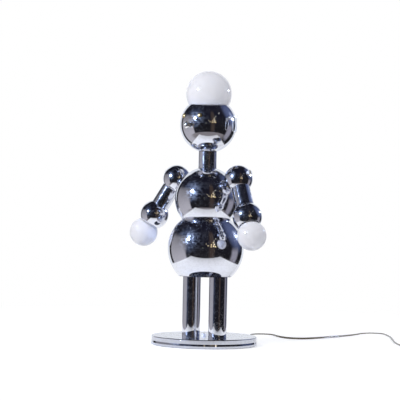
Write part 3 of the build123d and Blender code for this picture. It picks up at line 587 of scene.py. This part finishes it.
# Small lights: a spot's numbers, its strength, and its tint. The first two are the glow of the flash
# heads, and the others are lamps in the room.
SMALL_LIGHTS = (
    ((-122, 26), 2.0, 9.0, 0.3, (0.6, 0.72, 1.0)),
    ((62, 23), 2.0, 9.0, 0.3, (0.7, 0.78, 1.0)),
    ((151, 7), 0.9, 1.9, 3.0, (1.0, 0.80, 0.42)),
    ((157, 9), 0.9, 1.9, 3.4, (1.0, 0.84, 0.52)),
    ((164, 7), 0.8, 1.7, 2.6, (1.0, 0.76, 0.40)),
    ((173, 10), 0.6, 1.5, 2.0, (1.0, 0.82, 0.48)),
    ((154, 14), 0.8, 1.7, 3.0, (1.0, 0.86, 0.62)),
    ((163, 13), 0.7, 1.6, 2.8, (1.0, 0.78, 0.42)),
    ((157, 19), 0.8, 1.7, 2.6, (1.0, 0.84, 0.55)),
    ((154, 24), 0.6, 1.5, 1.6, (1.0, 0.90, 0.75)),
    ((179, 15), 0.5, 1.3, 1.4, (1.0, 0.86, 0.60)),
    ((147, 30), 0.6, 1.6, 1.3, (0.9, 0.9, 0.8)),
    ((128, 40), 0.8, 2.0, 0.9, (0.9, 0.9, 0.85)),
    ((124, 43), 0.7, 1.8, 0.8, (0.9, 0.9, 0.9)),
    ((-170, 3), 0.6, 1.6, 0.3, (0.8, 0.9, 0.6)),
)


def direction(azimuth, elevation):
    """Direction from the lamp: azimuth 0 is away from the photograph's camera, 90 to the picture's right."""
    a, e = math.radians(azimuth), math.radians(elevation)
    across = math.sin(a) * math.cos(e)
    away = math.cos(a) * math.cos(e)
    return RIGHT * across + DEPTH * away + Vector((0, 0, math.sin(e)))


def make_world():
    """The camera sees white. Mirrors see the photographer's room: white paper behind and below the lamp,
    a grey screen on each side, dark elsewhere, with two flash heads and a few warm lamps. All angles
    are in degrees, as in direction()."""
    world = bpy.data.worlds.new("room")
    world.use_nodes = True
    scene.world = world
    tree = Tree(world.node_tree)
    ray = tree.add("ShaderNodeTexCoord").outputs["Generated"]
    right = tree.dot(ray, RIGHT)
    depth = tree.dot(ray, DEPTH)
    up = tree.dot(ray, (0, 0, 1))
    azimuth = tree.math("MULTIPLY", tree.math("ARCTAN2", right, depth), 180 / math.pi)
    elevation = tree.math("MULTIPLY", tree.math("ARCSINE", up), 180 / math.pi)
    turned_away = tree.math("ABSOLUTE", azimuth)

    def band(value, low, high, soft):
        rise = tree.step(value, low - soft, low + soft)
        return tree.math("MULTIPLY", rise, tree.fall(value, high - soft, high + soft))

    def patch(azimuths, elevations):
        return tree.math("MULTIPLY", band(azimuth, *azimuths), band(elevation, *elevations))

    def spot(place, inner, outer):
        """Round patch of light: 1 inside the first angle, 0 outside the second."""
        along = tree.dot(ray, direction(*place))
        return tree.step(along, math.cos(math.radians(outer)), math.cos(math.radians(inner)))

    def background(colour, strength=1.0):
        node = tree.add("ShaderNodeBackground")
        tree.put(node.inputs["Color"], colour)
        node.inputs["Strength"].default_value = strength
        return node.outputs[0]

    colour = tree.mix(tree.step(elevation, low=-30, high=50), DARK_LOW, DARK_HIGH)
    left_haze = spot(*LEFT_HAZE_SPOT)
    colour = tree.mix(tree.math("MULTIPLY", left_haze, left_haze), colour, LEFT_HAZE)
    right_haze = tree.math("MULTIPLY", spot(*RIGHT_HAZE_SPOT), RIGHT_HAZE_SHARE)
    colour = tree.mix(right_haze, colour, RIGHT_HAZE)
    colour = tree.mix(patch(*BROWN_WALL_PATCH), colour, BROWN_WALL)
    colour = tree.mix(patch(*RIGHT_SCREEN_PATCH), colour, RIGHT_SCREEN)
    # The left screen's near edge is clear low down and fades out higher up, its top slopes, and it is
    # brighter low down.
    near_from = tree.step(elevation, low=-16, high=10, to_low=-119, to_high=-130)
    near_to = tree.step(elevation, low=-16, high=10, to_low=-112, to_high=-100)
    near_edge = tree.step(azimuth, near_from, near_to)
    far_edge = tree.fall(azimuth, low=-54, high=-47)
    top = tree.step(azimuth, low=-118, high=-40, to_low=30, to_high=18)
    under_top = tree.fall(tree.math("SUBTRACT", elevation, top), low=-6, high=6)
    left_screen = tree.math("MULTIPLY", tree.math("MULTIPLY", near_edge, far_edge), under_top)
    screen_level = tree.step(elevation, low=40, high=-30, to_low=0.16, to_high=0.50)
    colour = tree.mix(left_screen, colour, tree.mix(screen_level, (0.0, 0.0, 0.0), LEFT_SCREEN))
    low_down = tree.fall(elevation, low=-34, high=-30)
    grey_floor = tree.math("MULTIPLY", low_down, tree.step(turned_away, low=80, high=110))
    colour = tree.mix(grey_floor, colour, GREY_FLOOR)
    # The paper's top edge drops from high behind the lamp to low beside it.
    beside = tree.step(turned_away, low=30, high=60, to_low=14.0, to_high=-22.0)
    paper_top = tree.step(turned_away, low=32, high=37, to_low=40.0, to_high=beside)
    paper = tree.step(tree.math("SUBTRACT", paper_top, elevation), low=-1.5, high=1.5)
    paper = tree.math("MULTIPLY", paper, tree.fall(turned_away, low=35, high=39))
    colour = tree.mix(paper, colour, PAPER)
    for place, inner, outer, strength, tint in SMALL_LIGHTS:
        level = tree.math("MULTIPLY", spot(place, inner, outer), strength)
        light = tree.vector("SCALE", tint, scale=level)["Vector"]
        colour = tree.vector("ADD", colour, light)["Vector"]

    camera_ray, mirrored = tree.rays()
    lighting = tree.blend(mirrored, background(SOFT_LIGHT, 0.70), background(colour))
    output = tree.add("ShaderNodeOutputWorld")
    tree.put(output.inputs["Surface"], tree.blend(camera_ray, lighting, background((1.0, 1.0, 1.0))))


make_world()


ROBOT_MIDDLE = Vector((0, 0, 0.38))


def make_lamp(name, place, distance, size, power, colour, mirrored=False):
    """Area lamp aimed at the robot. It lights matt surfaces, or, if mirrored, only shows in shiny ones."""
    data = bpy.data.lights.new(name, "AREA")
    data.shape = "DISK"
    data.size = size
    data.energy = power
    data.color = colour
    lamp = add_object(name, data)
    lamp.location = ROBOT_MIDDLE + direction(*place) * distance
    lamp.rotation_mode = "QUATERNION"
    lamp.rotation_quaternion = (ROBOT_MIDDLE - lamp.location).to_track_quat("-Z", "Y")
    lamp.visible_glossy = mirrored
    lamp.visible_diffuse = not mirrored
    lamp.visible_camera = False


make_lamp("key", (-132, 34), distance=2.2, size=0.9, power=20, colour=(0.95, 0.96, 1.0))
make_lamp("fill", (62, 30), distance=2.4, size=0.9, power=7.5, colour=(1.0, 0.98, 1.0))
make_lamp("left_flash", (-122, 23), distance=3.5, size=0.20, power=300, colour=(0.50, 0.64, 1.0), mirrored=True)
make_lamp("right_flash", (62, 18), distance=2.8, size=0.13, power=34, colour=(0.60, 0.70, 1.0), mirrored=True)
